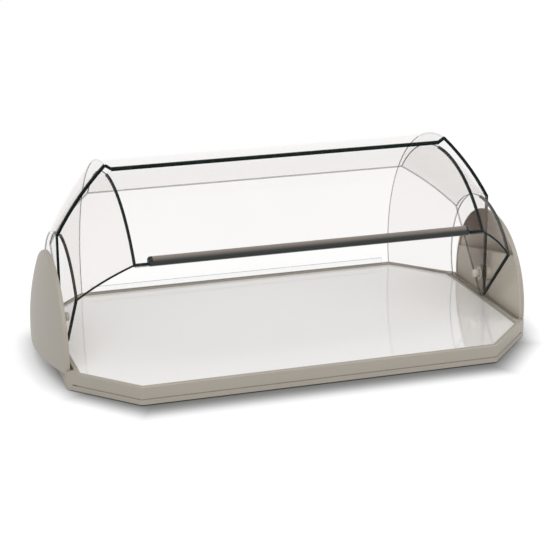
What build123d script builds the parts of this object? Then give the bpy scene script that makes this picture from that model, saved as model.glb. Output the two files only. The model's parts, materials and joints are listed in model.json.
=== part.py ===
"""Counter-top pastry display case: an octagonal moulded base with a glossy tray,
two arched end cheeks, and a clear roll-top cover in two nested lids that turn on
one pair of pivot pins. Millimetres. X runs along the case, the front faces -Y,
Z is up and the feet stand on Z = 0. The front lid is drawn part open, as it rests.
"""
from build123d import *
from math import asin, atan2, cos, hypot, pi, radians, sin, sqrt, tan
import os

os.makedirs("parts", exist_ok=True)

# Base
RIM_TOP = 28.0            # top of the rim above the counter
FOOT_HEIGHT = 2.0         # gap under the base, filled by the feet
FRONT_HALF = 262.0        # half length of the straight front edge
HALF_DEPTH = 216.0        # centre to the front face
HALF_WIDTH = 336.0        # centre to the side wall, where a cheek is screwed on
RIM_WIDTH = 6.0
TRAY_DROP = 3.0           # tray surface below the rim
TRAY_THICK = 3.0
WALL = 3.0                # moulded wall, base and cheeks
GROOVE_HEIGHT = 9.0       # shadow line round the skirt
GROOVE_WIDTH = 1.6
GROOVE_DEPTH = 1.0
CORNER_RADIUS = 8.0
RIM_CHAMFER = 1.4

# End cheeks
CHEEK_HALF = 123.0        # half depth of the arch, and the radius of its round top
CHEEK_CENTRE = 42.0       # height of that round top's centre
CHEEK_SLAB = 12.0         # straight part of the cheek next to the base
CHEEK_STEP = 6.0          # arch above the rim starts this far outside the base
CHEEK_BULGE = 24.0        # how far the outer face swells past the slab
CHEEK_ROUND = 5.0         # rounding of the arch's outer rim
GRIP_HEIGHT = 24.0        # underside of the swell, a hand grip for lifting
FIT = 0.3                 # clearance between moulded pieces
LINER_DEPTH = 7.0         # inner plate's face outside the base
LEDGE_HEIGHT = 99.7       # slanted top edge of the inner plate, at the middle
LEDGE_SLOPE = 11.0        # degrees, rising to the front
LEDGE_DEPTH = 8.0         # width of the flange along that edge

# Lids
AXIS_Z = 66.0             # pivot axis above the counter
SHEET = 3.0               # clear sheet
NEST = 8.0                # front lid's outer face inside the base's long face
REAR_RISE = 4.5           # rear lid's curve is centred this far above the axis
CREASE_INSET = 6.0        # crease of the front lid short of the base's corner
CREASE_NEST = 4.0         # crease of the rear lid outside that of the front one
END_INSET = 8.5           # front lid's end panel inside the base's side
END_NEST = 6.5            # rear lid's end panel outside the front one
FRONT_END_RADIUS = 125.0
END_SLACK = 3.0           # rear end panel's curve is this much tighter
BEVEL_SWELL = 4.5         # outward bow of the bevel panels
LID_GAP = 0.4             # closed lids stand this far above the rim
FRONT_LID_OPEN = 46.1     # degrees the front lid is open in the drawn pose
FRONT_REAR_EDGE = 2.0     # rear edge of the closed front lid, behind the axis
REAR_FRONT_EDGE = 12.7    # front edge of the closed rear lid, ahead of the axis
FRONT_TAIL = 15.0         # foot of the front end panel, behind the axis
TAIL_RADIUS = 11.0        # rounded feet of the end panels, clear of the tray
LIP_GAP = 6.5             # rear lid's turned-down lip above the front lid
LIP_MITRE = 9.0
STRIP_GAP = 0.1           # glue film behind the strip on the rear lid's lower edge
STRIP_HEIGHT = 9.0
STRIP_SHORT = 14.0        # strip stops this far short of the crease

# Handle on the front lid
HANDLE_RADIUS = 7.0
HANDLE_SHORT = 26.0       # profile stops this far short of the crease
HANDLE_CAP = 6.0
HANDLE_CHAMFER = 2.2
HANDLE_INSET = 1.6        # handle's centre inside the middle of the sheet
HANDLE_GRIP = 5.0         # how far the sheet reaches into the slotted profile

# Pivots
PIN_RADIUS = 4.0
RUNNING = 0.05            # radial clearance of a bush on its pin
BUSH_WALL = 2.0
FLANGE_RADIUS = 10.0
FLANGE_THICK = 1.1
END_PLAY = 0.3
WASHER_THICK = 0.7
WASHER_RADIUS = 9.0
CAP_RADIUS = 6.5
CAP_LENGTH = 6.0
CAP_CHAMFER = 2.0
CAP_WALL = 3.0            # closed end of the cap
BOSS_RADIUS = 13.0
BOSS_BACK = 8.0           # pin's boss behind the inner plate
PIN_HEAD_RADIUS = 7.0
PIN_HEAD = 3.0

# Fasteners and feet
SCREW_RADIUS = 2.0
SCREW_HEAD_RADIUS = 4.0
SCREW_HEAD = 2.6
SCREW_HEIGHT = 12.0
SCREW_BOSS = 4.5
SCREW_INNER = 40.0        # inner screws off the middle
SCREW_EDGE = 27.0         # outer screws in from the cheek's end
FOOT_RADIUS = 9.0
FOOT_STEM = 3.0
STEM_LENGTH = 8.0
FOOT_INSET_X = 27.0
FOOT_INSET_Y = 34.0
FOOT_INSET_END = 20.0
RIB_THICK = 2.5
RIB_PITCH_X = 80.0
RIB_PITCH_Y = 70.0
RIB_CLEAR = 6.0           # ribs stop this far above the skirt's foot

# Derived sizes
PLATE_TOP = RIM_TOP - TRAY_DROP - TRAY_THICK
PLATE_BOTTOM = PLATE_TOP - WALL
TRAY_TOP = RIM_TOP - TRAY_DROP
CHEEK_OUT = HALF_WIDTH + CHEEK_SLAB
LINER_X = HALF_WIDTH + LINER_DEPTH
LID_DROP = AXIS_Z - RIM_TOP - LID_GAP
SILL_DROP = AXIS_Z - TRAY_TOP - LID_GAP
FRONT_RADIUS = HALF_DEPTH - NEST
REAR_RADIUS = sqrt(HALF_DEPTH ** 2 + (LID_DROP + REAR_RISE) ** 2)
FRONT_CREASE = FRONT_HALF - CREASE_INSET
REAR_CREASE = FRONT_CREASE + CREASE_NEST
FRONT_END = HALF_WIDTH - END_INSET
REAR_END = FRONT_END + END_NEST
REAR_END_RADIUS = FRONT_END_RADIUS - END_SLACK
HANDLE_HALF = FRONT_CREASE - HANDLE_SHORT
STRIP_HALF = REAR_CREASE - STRIP_SHORT
SCREW_STATIONS = [s * y for s in (-1, 1) for y in (SCREW_INNER, CHEEK_HALF - SCREW_EDGE)]
FOOT_STATIONS = [(sx * (FRONT_HALF - FOOT_INSET_X), sy * (HALF_DEPTH - FOOT_INSET_Y))
                 for sx in (-1, 1) for sy in (-1, 1)]
FOOT_STATIONS += [(sx * (HALF_WIDTH - FOOT_INSET_END), 0.0) for sx in (-1, 1)]
FAR = 900.0


def octagon(inset):
    """Plan of the base: a rectangle with its corners cut off up to the cheeks."""
    run = CHEEK_OUT - FRONT_HALF
    slope = (HALF_DEPTH - CHEEK_HALF) / run
    shift = inset * tan(atan2(slope, 1) / 2)
    side = HALF_DEPTH - slope * (HALF_WIDTH - FRONT_HALF)
    side_shift = inset * tan((pi / 2 - atan2(slope, 1)) / 2)
    x1 = FRONT_HALF - shift
    y1 = HALF_DEPTH - inset
    x2 = HALF_WIDTH - inset
    y2 = side - side_shift
    ring = [(x1, y1), (x2, y2), (x2, -y2), (x1, -y1)]
    ring += [(-x, y) for x, y in reversed(ring)]
    face = make_face(Polyline(*ring, close=True))
    front = [v for v in face.vertices() if abs(abs(v.Y) - y1) < 0.01]
    return fillet(front, max(CORNER_RADIUS - inset, 1.0))


def corner_wings():
    """Four small wedges that carry the cut corners out past the cheek ends."""
    slope = (HALF_DEPTH - CHEEK_HALF) / (CHEEK_OUT - FRONT_HALF)
    side = HALF_DEPTH - slope * (HALF_WIDTH - FRONT_HALF)
    inner = CHEEK_HALF + FIT
    tip = CHEEK_OUT - FIT / slope
    wings = Part()
    for sx in (-1, 1):
        for sy in (-1, 1):
            corners = [(HALF_WIDTH - WALL, side), (HALF_WIDTH, side), (tip, inner)]
            corners += [(HALF_WIDTH - WALL, inner)]
            ring = [(sx * x, sy * y) for x, y in corners]
            face = make_face(Polyline(*ring, close=True))
            wings += Pos(0, 0, FOOT_HEIGHT) * extrude(face, RIM_TOP - FOOT_HEIGHT, dir=(0, 0, 1))
    return wings


def slab_z(face, low, high):
    """A plan face raised between two heights."""
    return Pos(0, 0, low) * extrude(face, high - low, dir=(0, 0, 1))


def rod_x(x1, x2, y, z, radius):
    """A round bar along X."""
    turn = Rot(0, 90, 0)
    return Pos((x1 + x2) / 2, y, z) * turn * Cylinder(radius, abs(x2 - x1))


def span(x1, x2, y1, y2, z1, z2):
    """A plain box from its two corners."""
    middle = Pos((x1 + x2) / 2, (y1 + y2) / 2, (z1 + z2) / 2)
    return middle * Box(abs(x2 - x1), abs(y2 - y1), abs(z2 - z1))


def mirrored(piece):
    """The left-hand twin of a right-hand piece."""
    return mirror(piece, about=Plane.YZ)


def base_shell():
    """Moulded base: rim, tray seat, skirt, under-ribs, foot bosses and screw holes."""
    body = slab_z(octagon(0), FOOT_HEIGHT, RIM_TOP)
    top = body.edges().filter_by(lambda e: abs(e.center().Z - RIM_TOP) < 0.01)
    top = top.filter_by(lambda e: abs(e.center().X) < HALF_WIDTH - 1)
    body = chamfer(top, RIM_CHAMFER)
    body += corner_wings()
    body -= slab_z(octagon(RIM_WIDTH), PLATE_TOP, RIM_TOP + 1)
    body -= slab_z(octagon(WALL), 0, PLATE_BOTTOM)
    ring = slab_z(octagon(-5), GROOVE_HEIGHT, GROOVE_HEIGHT + GROOVE_WIDTH)
    ring -= slab_z(octagon(GROOVE_DEPTH), 0, RIM_TOP)
    ring -= span(-FAR, FAR, -CHEEK_HALF - 6, CHEEK_HALF + 6, 0, RIM_TOP)
    body -= ring
    body += under_ribs()
    for x, y in FOOT_STATIONS:
        body += Pos(x, y, (FOOT_HEIGHT + PLATE_TOP) / 2) * Cylinder(
            FOOT_RADIUS, PLATE_TOP - FOOT_HEIGHT)
        body -= Pos(x, y, (FOOT_HEIGHT + PLATE_BOTTOM) / 2) * Cylinder(
            FOOT_STEM, PLATE_BOTTOM - FOOT_HEIGHT)
    for y in SCREW_STATIONS:
        hole = rod_x(-HALF_WIDTH - 1, HALF_WIDTH + 1, y, SCREW_HEIGHT, SCREW_RADIUS + 0.2)
        hole -= span(-HALF_WIDTH + WALL + 1, HALF_WIDTH - WALL - 1, -FAR, FAR, 0, RIM_TOP)
        body -= hole
    return body


def spread(pitch, limit):
    """Even stations either side of the middle, up to a limit."""
    count = int(limit // pitch)
    return [n * pitch for n in range(-count, count + 1)]


def under_ribs():
    """Stiffening ribs under the plate, cut to the inside of the skirt."""
    low = FOOT_HEIGHT + RIB_CLEAR
    half = RIB_THICK / 2
    ribs = Part()
    for x in spread(RIB_PITCH_X, HALF_WIDTH - FOOT_INSET_END - FOOT_RADIUS):
        ribs += span(x - half, x + half, -FAR, FAR, low, PLATE_BOTTOM)
    for y in spread(RIB_PITCH_Y, HALF_DEPTH - FOOT_INSET_Y - FOOT_RADIUS):
        ribs += span(-FAR, FAR, y - half, y + half, low, PLATE_BOTTOM)
    ribs = ribs & slab_z(octagon(WALL - 0.5), low, PLATE_BOTTOM)
    side = HALF_WIDTH - WALL
    reach = 2 * SCREW_HEAD_RADIUS
    for y in SCREW_STATIONS:
        for s in (-1, 1):
            ribs -= span(s * side, s * (side - reach), y - reach, y + reach, 0, RIM_TOP)
    return ribs


def tray_floor():
    """Glossy tray panel that drops into the rim."""
    return slab_z(octagon(RIM_WIDTH + FIT), PLATE_TOP, PLATE_TOP + TRAY_THICK)


def swell(inset, rounding):
    """Round drum of a cheek with a shallow ball for its face and a rounded rim."""
    radius = (CHEEK_HALF ** 2 + CHEEK_BULGE ** 2) / (2 * CHEEK_BULGE) - inset
    top = CHEEK_OUT + CHEEK_BULGE - inset
    middle = top - radius
    side = CHEEK_HALF - inset
    lean = asin((side - rounding) / (radius - rounding))
    rim_x = middle + (radius - rounding) * cos(lean)
    touch = (middle + radius * cos(lean), 0, radius * sin(lean))
    face = (middle + radius * cos(lean / 2), 0, radius * sin(lean / 2))
    outline = [Line((HALF_WIDTH, 0, 0), (HALF_WIDTH, 0, side))]
    outline += [Line((HALF_WIDTH, 0, side), (rim_x, 0, side))]
    if rounding > 0:
        turn = (lean + pi / 2) / 2
        high = (rim_x + rounding * cos(turn), 0, side - rounding + rounding * sin(turn))
        outline += [ThreePointArc((rim_x, 0, side), high, touch)]
    outline += [ThreePointArc(touch, face, (top, 0, 0))]
    outline += [Line((top, 0, 0), (HALF_WIDTH, 0, 0))]
    drum = revolve(make_face(Wire(outline)), axis=Axis.X, revolution_arc=360)
    return Pos(0, 0, CHEEK_CENTRE) * drum


def cheek():
    """Right-hand cheek: a hollow arch with a swollen face and a grip beneath."""
    top = CHEEK_OUT + CHEEK_BULGE
    leg = sqrt(CHEEK_HALF ** 2 - (CHEEK_CENTRE - GRIP_HEIGHT) ** 2)
    body = swell(0, CHEEK_ROUND) & span(0, FAR, -FAR, FAR, GRIP_HEIGHT, FAR)
    skirt = span(HALF_WIDTH, CHEEK_OUT, -leg, leg, FOOT_HEIGHT, GRIP_HEIGHT)
    corners = skirt.edges().filter_by(Axis.Z).sort_by(Axis.X)[2:]
    body += fillet(corners, CHEEK_ROUND)
    body -= span(0, HALF_WIDTH + CHEEK_STEP, -FAR, FAR, RIM_TOP, FAR)
    body -= span(0, CHEEK_OUT - WALL, WALL - leg, leg - WALL, FOOT_HEIGHT + WALL, RIM_TOP)
    body -= swell(WALL, 0) & span(0, top, -FAR, FAR, GRIP_HEIGHT + WALL, FAR)
    for y in SCREW_STATIONS:
        body += rod_x(HALF_WIDTH, CHEEK_OUT - 1, y, SCREW_HEIGHT, SCREW_BOSS)
        body -= rod_x(HALF_WIDTH - 1, CHEEK_OUT - 2, y, SCREW_HEIGHT, SCREW_RADIUS)
    return body


def liner():
    """Plate that closes the lower cheek, with a slanted flanged edge and the pin's boss."""
    back = LINER_X + LEDGE_DEPTH
    skin = LINER_X + WALL
    section = [(-FAR, LINER_X), (0, LINER_X), (0, back), (-WALL, back)]
    section += [(-WALL, skin), (-FAR, skin)]
    slant = radians(LEDGE_SLOPE)
    plane = Plane(origin=(0, 0, LEDGE_HEIGHT), x_dir=(0, sin(slant), cos(slant)),
                  z_dir=(0, cos(slant), -sin(slant)))
    ring = [plane.from_local_coords((u, 0, 0)) + Vector(x, 0, 0) for u, x in section]
    face = make_face(Polyline(*ring, close=True))
    plate = extrude(face, FAR, dir=tuple(plane.z_dir), both=True)
    floor = GRIP_HEIGHT + WALL + FIT
    plate = plate & swell(WALL + FIT, 0) & span(0, FAR, -FAR, FAR, floor, FAR)
    face_x = REAR_END + FLANGE_THICK + END_PLAY
    plate += rod_x(face_x, LINER_X + 0.5, 0, AXIS_Z, BOSS_RADIUS)
    plate += rod_x(skin - 0.5, skin + BOSS_BACK, 0, AXIS_Z, BOSS_RADIUS - WALL)
    return plate - rod_x(face_x - 1, skin + BOSS_BACK + 1, 0, AXIS_Z, PIN_RADIUS)


def pivot_pin():
    """Right-hand shoulder pin, headed behind the inner plate."""
    inner = FRONT_END - SHEET - END_PLAY - CAP_LENGTH + CAP_WALL
    outer = LINER_X + WALL + BOSS_BACK
    pin = rod_x(inner, outer, 0, AXIS_Z, PIN_RADIUS)
    head = rod_x(outer, outer + PIN_HEAD, 0, AXIS_Z, PIN_HEAD_RADIUS)
    return pin + head


def pivot_cap():
    """Chamfered cap on the inner end of the right-hand pin."""
    outer = FRONT_END - SHEET - END_PLAY
    cap = rod_x(outer - CAP_LENGTH, outer, 0, AXIS_Z, CAP_RADIUS)
    rim = cap.edges().filter_by(GeomType.CIRCLE).sort_by(Axis.X)[0]
    cap = chamfer(rim, CAP_CHAMFER)
    return cap - rod_x(outer - CAP_LENGTH + CAP_WALL, outer, 0, AXIS_Z, PIN_RADIUS)


def wave_washer():
    """Friction washer on the right-hand pin, between the two end panels."""
    middle = (FRONT_END + FLANGE_THICK + REAR_END - SHEET) / 2
    low = middle - WASHER_THICK / 2
    high = low + WASHER_THICK
    ring = rod_x(low, high, 0, AXIS_Z, WASHER_RADIUS)
    return ring - rod_x(low - 1, high + 1, 0, AXIS_Z, PIN_RADIUS)


def lid_bush(end_face):
    """Flanged bush pressed into a right-hand end panel from outside, in the lid's frame."""
    inner, outer = end_face - SHEET, end_face + FLANGE_THICK
    bush = rod_x(inner, end_face, 0, 0, PIN_RADIUS + BUSH_WALL)
    bush += rod_x(end_face, outer, 0, 0, FLANGE_RADIUS)
    return bush - rod_x(inner - 1, outer + 1, 0, 0, PIN_RADIUS + RUNNING)


def cheek_screw(y):
    """Hexagon-headed screw from inside the base into a cheek's boss."""
    seat = HALF_WIDTH - WALL
    shank = rod_x(seat, CHEEK_OUT - WALL, y, SCREW_HEIGHT, SCREW_RADIUS)
    hexagon = Plane.YZ.offset(seat - SCREW_HEAD) * RegularPolygon(SCREW_HEAD_RADIUS, 6)
    head = Pos(0, y, SCREW_HEIGHT) * extrude(hexagon, SCREW_HEAD, dir=(1, 0, 0))
    return shank + head


def foot(x, y):
    """Rubber foot with a stem that presses into its boss."""
    pad = Pos(x, y, FOOT_HEIGHT / 2) * Cylinder(FOOT_RADIUS - 1, FOOT_HEIGHT)
    stem = Pos(x, y, FOOT_HEIGHT + STEM_LENGTH / 2) * Cylinder(FOOT_STEM, STEM_LENGTH)
    return pad + stem


class LidShape:
    """Folded profile of a lid: a curved main panel, two bowed bevels and two flat ends.

    The profile is turned about a line that lies rise above the pivot axis.
    """

    def __init__(self, radius, crease, end, end_radius, rise):
        self.radius = radius
        self.crease = crease
        self.end = end
        self.end_radius = end_radius
        self.rise = rise
        run, fall = end - crease, radius - end_radius
        chord = hypot(run, fall)
        self.bow = (chord ** 2 / 4 + BEVEL_SWELL ** 2) / (2 * BEVEL_SWELL)
        depth = self.bow - BEVEL_SWELL
        self.middle = ((crease + end) / 2 - depth * fall / chord,
                       (radius + end_radius) / 2 - depth * run / chord)
        inner = self.bow - SHEET
        mid_x, mid_r = self.middle
        self.inner_crease = mid_x + sqrt(inner ** 2 - (radius - SHEET - mid_r) ** 2)
        self.inner_end_radius = mid_r + sqrt(inner ** 2 - (end - SHEET - mid_x) ** 2)

    def turned(self, outline):
        """Revolve a closed (x, r) outline, drawn at -Z, right round the lid's own line."""
        turned = revolve(make_face(outline), axis=Axis.X, revolution_arc=360)
        return Pos(0, 0, self.rise) * turned

    def ring(self, points):
        """Revolve a straight-sided (x, r) outline."""
        return self.turned(Polyline(*[(x, 0, -r) for x, r in points], close=True))

    def bowed(self, start, finish, radius):
        """Arc of the bevel's bow between two (x, r) points."""
        mid_x, mid_r = self.middle
        along = atan2((start[1] + finish[1]) / 2 - mid_r, (start[0] + finish[0]) / 2 - mid_x)
        top = (mid_x + radius * cos(along), mid_r + radius * sin(along))
        points = [(x, 0, -r) for x, r in (start, top, finish)]
        return ThreePointArc(*points)

    def main_panel(self):
        """Cylindrical panel with mitred ends."""
        low = self.radius - SHEET
        return self.ring([(-self.crease, self.radius), (self.crease, self.radius),
                          (self.inner_crease, low), (-self.inner_crease, low)])

    def bevel_panel(self):
        """Right-hand bowed panel, mitred on both sides."""
        corners = [(self.crease, self.radius), (self.end, self.end_radius)]
        corners += [(self.end - SHEET, self.inner_end_radius)]
        corners += [(self.inner_crease, self.radius - SHEET)]
        flat = [(x, 0, -r) for x, r in corners]
        outline = [self.bowed(corners[0], corners[1], self.bow)]
        outline += [Line(flat[1], flat[2])]
        outline += [self.bowed(corners[2], corners[3], self.bow - SHEET)]
        outline += [Line(flat[3], flat[0])]
        return self.turned(Wire(outline))

    def end_panel(self):
        """Right-hand flat panel with the hole for its bush."""
        points = [(self.end, 0), (self.end, self.end_radius)]
        points += [(self.end - SHEET, self.inner_end_radius), (self.end - SHEET, 0)]
        hole = rod_x(self.end - 3 * SHEET, self.end + 3 * SHEET, 0, 0, PIN_RADIUS + BUSH_WALL)
        return self.ring(points) - hole


FRONT = LidShape(FRONT_RADIUS, FRONT_CREASE, FRONT_END, FRONT_END_RADIUS, 0.0)
REAR = LidShape(REAR_RADIUS, REAR_CREASE, REAR_END, REAR_END_RADIUS, REAR_RISE)


def front_region(drop):
    """Quarter space that the closed front lid keeps down to a drop, in the lid's frame."""
    return span(-FAR, FAR, -FAR, FRONT_REAR_EDGE, -drop, FAR)


def rear_region():
    """Quarter space that the closed rear lid keeps, in the lid's frame."""
    return span(-FAR, FAR, -REAR_FRONT_EDGE, FAR, -LID_DROP, FAR)


def tail_prism(points, corner):
    """An end panel's side outline, with the named corner rounded, made a prism on X."""
    face = make_face(Polyline(*[(0, y, z) for y, z in points], close=True))
    near = face.vertices().sort_by_distance((0, *points[corner]))[0]
    face = fillet(near, TAIL_RADIUS)
    return extrude(face, FAR, dir=(1, 0, 0), both=True)


def front_end_prism():
    """Side outline of the front lid's end panel: its rear edge slants past the pin."""
    slant = (FRONT_TAIL - FRONT_REAR_EDGE) / (FRONT_END_RADIUS + LID_DROP)
    top = FRONT_REAR_EDGE - slant * (FAR - FRONT_END_RADIUS)
    points = [(-FAR, -LID_DROP), (FRONT_TAIL, -LID_DROP), (top, FAR), (-FAR, FAR)]
    return tail_prism(points, 1)


def rear_end_prism():
    """Side outline of the rear lid's end panel: its front edge is upright."""
    points = [(-REAR_FRONT_EDGE, -LID_DROP), (FAR, -LID_DROP), (FAR, FAR)]
    points += [(-REAR_FRONT_EDGE, FAR)]
    return tail_prism(points, 0)


def handle_centre():
    """Centre of the handle in the closed lid's frame."""
    z = -SILL_DROP + HANDLE_RADIUS + 0.1
    radius = FRONT_RADIUS - SHEET / 2
    return -sqrt(radius ** 2 - z ** 2) + HANDLE_INSET, z


def front_main():
    """Front lid's curved panel, notched where the handle grips its lower edge.

    It reaches down inside the rim, nearly to the tray.
    """
    notch = HANDLE_HALF + HANDLE_CAP
    top = -SILL_DROP + HANDLE_GRIP
    panel = FRONT.main_panel() & front_region(SILL_DROP)
    return panel - span(-notch, notch, -FAR, -FRONT_RADIUS / 2, -FAR, top)


def rear_main():
    """Rear lid's curved panel with the lip turned down at its front edge."""
    panel = REAR.main_panel() & rear_region()
    low = FRONT_RADIUS + LIP_GAP
    high = REAR_RISE + sqrt(REAR_RADIUS ** 2 - REAR_FRONT_EDGE ** 2) - 0.2
    wide = REAR.inner_crease
    narrow = wide - LIP_MITRE
    ring = [(-wide, high), (wide, high), (narrow, low), (-narrow, low)]
    face = make_face(Polyline(*[(x, -REAR_FRONT_EDGE, z) for x, z in ring], close=True))
    return panel + extrude(face, SHEET, dir=(0, 1, 0))


def edge_strip():
    """Stiffening strip welded inside the rear lid's lower edge."""
    low = REAR_RADIUS - 2 * SHEET
    high = REAR_RADIUS - SHEET - STRIP_GAP
    ring = [(-STRIP_HALF, low), (STRIP_HALF, low), (STRIP_HALF, high), (-STRIP_HALF, high)]
    strip = REAR.ring(ring)
    return strip & span(-FAR, FAR, 0, FAR, -LID_DROP, -LID_DROP + STRIP_HEIGHT)


def handle():
    """Slotted round profile pushed over the front lid's lower edge."""
    y, z = handle_centre()
    return rod_x(-HANDLE_HALF, HANDLE_HALF, y, z, HANDLE_RADIUS) - front_main()


def handle_caps():
    """Chamfered caps that close the two ends of the handle."""
    y, z = handle_centre()
    cap = rod_x(HANDLE_HALF, HANDLE_HALF + HANDLE_CAP, y, z, HANDLE_RADIUS)
    rim = cap.edges().filter_by(GeomType.CIRCLE).sort_by(Axis.X)[-1]
    cap = chamfer(rim, HANDLE_CHAMFER) - front_main()
    return [cap, mirrored(cap)]


def solids_of(pieces):
    """Several separate solids as one compound for a grouped node."""
    out = []
    for piece in pieces:
        out += piece.solids()
    return Compound(children=out)


def save(name, piece):
    """Write one node's STEP file."""
    piece.label = name
    export_step(piece, f"parts/{name}.step")


def front_lid_nodes():
    """Every piece of the front lid, in the lid's own closed frame."""
    keep = front_region(LID_DROP)
    bevel = FRONT.bevel_panel() & keep
    end = FRONT.end_panel() & front_end_prism()
    bush = lid_bush(FRONT_END)
    return {
        "front_main_panel": front_main(),
        "front_bevel_right": bevel,
        "front_bevel_left": mirrored(bevel),
        "front_end_right": end,
        "front_end_left": mirrored(end),
        "front_bushes": solids_of([bush, mirrored(bush)]),
        "front_handle": handle(),
        "front_handle_caps": solids_of(handle_caps()),
    }


def rear_lid_nodes():
    """Every piece of the rear lid, in the lid's own closed frame."""
    keep = rear_region()
    bevel = REAR.bevel_panel() & keep
    end = REAR.end_panel() & rear_end_prism()
    bush = lid_bush(REAR_END)
    return {
        "rear_main_panel": rear_main(),
        "rear_bevel_right": bevel,
        "rear_bevel_left": mirrored(bevel),
        "rear_end_right": end,
        "rear_end_left": mirrored(end),
        "rear_bushes": solids_of([bush, mirrored(bush)]),
        "rear_edge_strip": edge_strip(),
    }


def base_nodes():
    """Every piece that stays with the base."""
    side, plate, pin, cap = cheek(), liner(), pivot_pin(), pivot_cap()
    washer = wave_washer()
    screws = [cheek_screw(y) for y in SCREW_STATIONS]
    return {
        "base_shell": base_shell(),
        "tray_floor": tray_floor(),
        "cheek_right": side,
        "cheek_left": mirrored(side),
        "liner_right": plate,
        "liner_left": mirrored(plate),
        "pivot_pin_right": pin,
        "pivot_pin_left": mirrored(pin),
        "pivot_cap_right": cap,
        "pivot_cap_left": mirrored(cap),
        "wave_washers": solids_of([washer, mirrored(washer)]),
        "cheek_screws": solids_of(screws + [mirrored(s) for s in screws]),
        "feet": solids_of([foot(x, y) for x, y in FOOT_STATIONS]),
    }


front_place = Pos(0, 0, AXIS_Z) * Rot(-FRONT_LID_OPEN, 0, 0)
rear_place = Pos(0, 0, AXIS_Z)
for name, piece in base_nodes().items():
    save(name, piece)
for name, piece in front_lid_nodes().items():
    save(name, front_place * piece)
for name, piece in rear_lid_nodes().items():
    save(name, rear_place * piece)
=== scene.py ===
"""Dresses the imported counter-top display case: satin base and cheeks, glossy tray,
clear lids with dark glued joints, grip bar, floor, light and camera. Metres, Z up.
"""

import json
from math import asin, atan2, cos, degrees, hypot, pi, radians, sin, sqrt

import bpy
from mathutils import Matrix, Vector


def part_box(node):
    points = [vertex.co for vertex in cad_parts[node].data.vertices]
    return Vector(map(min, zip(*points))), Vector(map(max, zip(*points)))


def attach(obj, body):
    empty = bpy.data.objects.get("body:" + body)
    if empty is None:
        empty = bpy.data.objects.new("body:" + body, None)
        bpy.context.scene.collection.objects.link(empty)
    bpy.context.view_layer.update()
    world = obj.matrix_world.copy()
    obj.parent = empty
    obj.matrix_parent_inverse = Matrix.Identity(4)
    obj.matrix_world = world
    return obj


bl_info = {
    "name": "Pastry Display Case",
    "version": (1, 0, 0),
    "blender": (4, 5, 0),
    "location": "3D View > Sidebar > Display Case",
    "description": "Finishes, glued joints and stage for a roll-top display case",
    "category": "Object",
}

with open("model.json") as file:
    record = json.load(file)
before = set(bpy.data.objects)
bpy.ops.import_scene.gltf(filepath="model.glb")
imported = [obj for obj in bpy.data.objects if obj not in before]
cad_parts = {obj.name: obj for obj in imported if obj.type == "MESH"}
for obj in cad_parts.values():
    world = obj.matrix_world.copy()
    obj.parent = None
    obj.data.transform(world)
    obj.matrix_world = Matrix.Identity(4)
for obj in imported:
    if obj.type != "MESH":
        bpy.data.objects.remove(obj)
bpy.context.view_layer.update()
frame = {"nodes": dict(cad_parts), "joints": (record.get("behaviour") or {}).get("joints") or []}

# Sizes of the lids that the frame doesn't give
SHEET = 0.003           # thickness of the clear sheet
BEVEL_SWELL = 0.0045    # rise of a bevel's bow over its chord
LIP_MITRE = 0.0095      # how far the lip's low corners stand in from the creases
TAIL_RADIUS = 0.011     # rounding at the foot of a rear end panel

# Small steps that place the joints and dark edges
CREASE_INSET = 0.0007   # joints lie this far inside the creases
EDGE_LAP = 0.0002       # keeps the dark edges just proud of the sheet
LIP_LAP = 0.0006        # how far the lip's dark edge hangs below the lip
CREST_IN = 0.001        # inset of the upper ends of the rear lid's dark edges
CREST_DOWN = 0.0018     # drop of the lip's slanted ends below the crest
TAIL_START = 0.004      # where an end panel's lower edge stops, behind the hinge line
TRAY_GAP = 0.0014       # left above the tray when the front lid is closed
FOLD_MARGIN = 0.001     # faces down to this far below the lip stay clear
SAME_FACE = 0.0001      # points this near to a face lie on it

# Turns that place the joints: a mid place in front, and where the rear's fine ones start
JOINT_OVER = pi / 9
FINE_START = pi * 0.64
FINE_OVER = pi * 0.8

# Least or most share of a way in a face's normal that tells the sheets' faces apart
ROLLED = 0.8
SAWN = 0.2
UPRIGHT = 0.9

# Sideways shares of the flat faces, and 1 for a rolled panel, by kind of panel
SHEET_FACES = (("_main_panel", -1.0, 0.2, 1.0), ("_bevel", 0.55, 0.877, 0.0),
               ("_end", 0.6, 1.1, 0.0))

# How solid each clear panel looks, by surface
STRIP_VEIL = 0.03
HAZE_SWING = 0.016
ANGLE_VEIL = 0.02
MITRE_VEIL = 0.16
SAWN_VEIL = 0.62
VEILS = {"front_main_panel": 0.036, "front_bevel": 0.085, "front_end": 0.03,
         "rear_main_panel": 0.034, "rear_bevel": 0.08, "rear_end": 0.045}

# The photograph's camera
VIEW_TURN = radians(17.27)
VIEW_RISE = radians(17.72)
VIEW_ROLL = radians(-0.51)
VIEW_TARGET = Vector((0.00267, 0.0, 0.0879))
SENSOR = 36.0

# Floor: how far its painted shadow runs out, and how bright its glow is near and far
SHADOW_SHIFT = 0.023
SHADOW_ALONG = 0.016
SHADOW_ACROSS = 0.032
CHAMFER_WAY = (0.783, 0.623)
CHAMFER_REACH = 0.322
FADE_GAPS = (-0.012, 0.062)
FADE_LEVELS = (0.10, 1.12)
CONTACT_REACH = 0.042
CONTACT_POWER = 0.8
GLOW_SHARE = 0.8

# Lamps as name, place, width and watts, and how far the white surround lights the case
LAMPS = (("key", (-1.0, -1.6, 2.6), 2.2, 42.0), ("fill", (1.8, -1.0, 1.8), 1.8, 14.0))
SURROUND = 0.65

# Spacing of shader nodes
GRID_X = 190
GRID_Y = 170

# Places taken from the frame
HINGE = Vector(frame["joints"][0]["pos_m"])
FRONT_OPEN = radians(-frame["joints"][0]["range_deg"][0])
REAR_LOW, REAR_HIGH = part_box("rear_main_panel")
TRAY_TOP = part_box("tray_floor")[1].z


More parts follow.
